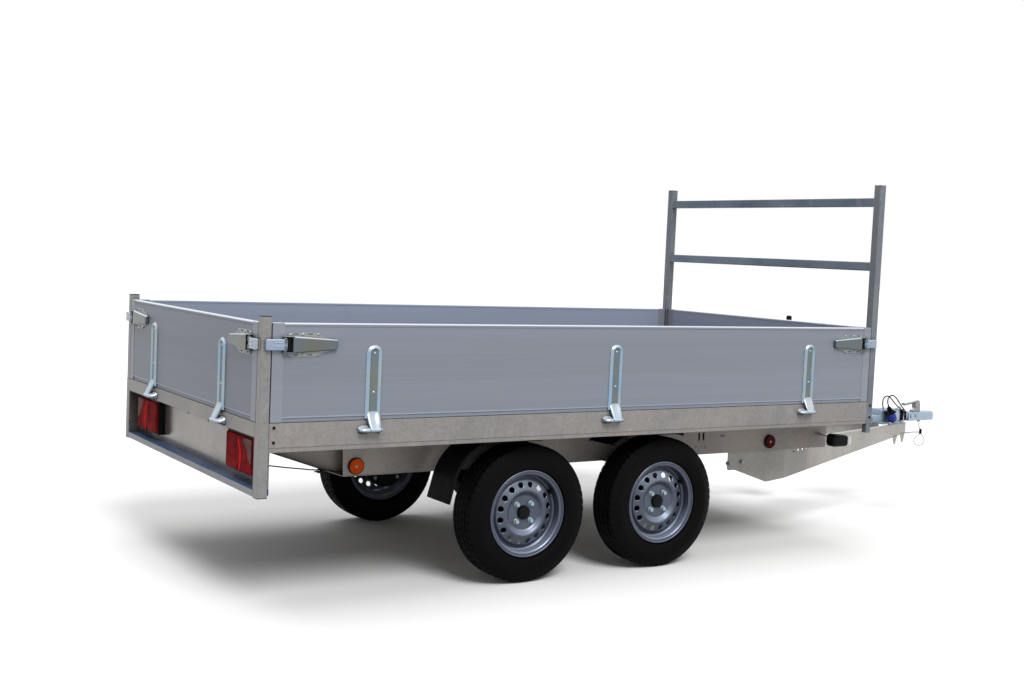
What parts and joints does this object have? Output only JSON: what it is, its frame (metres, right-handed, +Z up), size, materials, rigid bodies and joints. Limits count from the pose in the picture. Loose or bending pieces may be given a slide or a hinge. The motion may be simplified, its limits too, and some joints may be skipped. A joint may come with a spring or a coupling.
{
  "type": "flatbed utility trailer",
  "caption": "Tandem-axle flatbed utility trailer with drop-down aluminium boards, tall front ladder rack, V drawbar, coupling and jockey wheel.",
  "frame": {"origin": "on the ground, under the middle of the trailer's overall length and width", "axes": "+X forward to the coupling, +Y left, +Z up"},
  "size_m": [4.6066, 1.657, 1.7589],
  "materials": {
    "galvanised_steel": "hot-dip galvanised, faint spangle",
    "zinc_fittings": "bright zinc plated",
    "anodised_aluminium": "satin anodised, fine extrusion lines",
    "deck_plywood": "phenolic film-faced plywood",
    "black_plastic": "moulded, light grain",
    "red_lens": "clear-moulded lens",
    "amber_lens": "clear-moulded lens",
    "tyre_rubber": "new tyre",
    "silver_wheel": "silver wheel enamel",
    "hub_paint": "black hub paint",
    "black_rubber": "smooth",
    "blue_plastic": "moulded plug body",
    "steel_cable": "stranded, galvanised"
  },
  "bodies": {
    "chassis": {"left_side_rail": "galvanised_steel", "right_side_rail": "galvanised_steel", "front_rail": "galvanised_steel", "rear_rail": "galvanised_steel", "cross_members": "galvanised_steel", "deck_floor": "deck_plywood", "rear_lower_posts": "galvanised_steel", "rear_upper_posts": "galvanised_steel", "front_posts": "galvanised_steel", "rack_top_rail": "galvanised_steel", "rack_lower_rail": "galvanised_steel", "rear_lamp_panel": "galvanised_steel", "rear_bottom_channel": "galvanised_steel", "rear_lamp_housings": "black_plastic", "rear_lamp_lenses": "red_lens", "rail_hinge_brackets": "zinc_fittings", "left_chassis_beam": "galvanised_steel", "right_chassis_beam": "galvanised_steel", "side_reflectors": "amber_lens", "front_marker_lamps": "black_plastic", "left_mudguard": "black_plastic", "right_mudguard": "black_plastic", "rear_axle": "hub_paint", "front_axle": "hub_paint", "left_drawbar_arm": "galvanised_steel", "right_drawbar_arm": "galvanised_steel", "overrun_housing": "galvanised_steel", "drawbar_bellows": "black_rubber", "coupling_head": "galvanised_steel", "coupling_handle": "zinc_fittings", "handbrake_lever": "zinc_fittings", "jockey_clamp": "zinc_fittings", "jockey_outer_tube": "zinc_fittings", "jockey_knob": "black_plastic", "plug_lead": "black_rubber", "supply_lead": "black_rubber", "rear_lamp_lead": "black_rubber", "drawbar_plug": "blue_plastic", "breakaway_cable": "steel_cable", "breakaway_ferrule": "steel_cable", "breakaway_strands": "steel_cable"},
    "jockey_leg": {"jockey_inner_tube": "zinc_fittings"},
    "jockey_roller": {"jockey_wheel": "black_rubber"},
    "right_side_board": {"right_side_board": "anodised_aluminium", "right_side_board_fittings": "zinc_fittings"},
    "left_side_board": {"left_side_board": "anodised_aluminium", "left_side_board_fittings": "zinc_fittings"},
    "tailboard": {"tailboard": "anodised_aluminium", "tailboard_fittings": "zinc_fittings"},
    "front_board": {"front_board": "anodised_aluminium", "front_board_fittings": "zinc_fittings"},
    "rear_left_wheel": {"rear_left_rim": "silver_wheel", "rear_left_tyre": "tyre_rubber"},
    "rear_right_wheel": {"rear_right_rim": "silver_wheel", "rear_right_tyre": "tyre_rubber"},
    "front_left_wheel": {"front_left_rim": "silver_wheel", "front_left_tyre": "tyre_rubber"},
    "front_right_wheel": {"front_right_rim": "silver_wheel", "front_right_tyre": "tyre_rubber"}
  },
  "joints": [
    {"name": "right_board_hinge", "type": "hinge", "parent": "chassis", "child": "right_side_board", "pos_m": [-0.68575, -0.821, 0.68], "axis": [1, 0, 0], "range_deg": [0, 180]},
    {"name": "left_board_hinge", "type": "hinge", "parent": "chassis", "child": "left_side_board", "pos_m": [-0.68575, 0.821, 0.68], "axis": [-1, 0, 0], "range_deg": [0, 180]},
    {"name": "tailboard_hinge", "type": "hinge", "parent": "chassis", "child": "tailboard", "pos_m": [-2.29575, 0, 0.68], "axis": [0, -1, 0], "range_deg": [0, 180]},
    {"name": "front_board_hinge", "type": "hinge", "parent": "chassis", "child": "front_board", "pos_m": [0.92425, 0, 0.68], "axis": [0, 1, 0], "range_deg": [0, 110]},
    {"name": "jockey_slide", "type": "slide", "parent": "chassis", "child": "jockey_leg", "axis": [0, 0, -1], "range_m": [0, 0.155]},
    {"name": "jockey_spin", "type": "hinge", "parent": "jockey_leg", "child": "jockey_roller", "pos_m": [1.39225, 0.31156, 0.26], "axis": [0, 1, 0], "continuous": true},
    {"name": "rear_left_wheel_spin", "type": "hinge", "parent": "chassis", "child": "rear_left_wheel", "pos_m": [-1.04875, 0.652, 0.289], "axis": [0, 1, 0], "continuous": true},
    {"name": "rear_right_wheel_spin", "type": "hinge", "parent": "chassis", "child": "rear_right_wheel", "pos_m": [-1.04875, -0.652, 0.289], "axis": [0, 1, 0], "continuous": true},
    {"name": "front_left_wheel_spin", "type": "hinge", "parent": "chassis", "child": "front_left_wheel", "pos_m": [-0.33775, 0.652, 0.289], "axis": [0, 1, 0], "continuous": true},
    {"name": "front_right_wheel_spin", "type": "hinge", "parent": "chassis", "child": "front_right_wheel", "pos_m": [-0.33775, -0.652, 0.289], "axis": [0, 1, 0], "continuous": true}
  ]
}
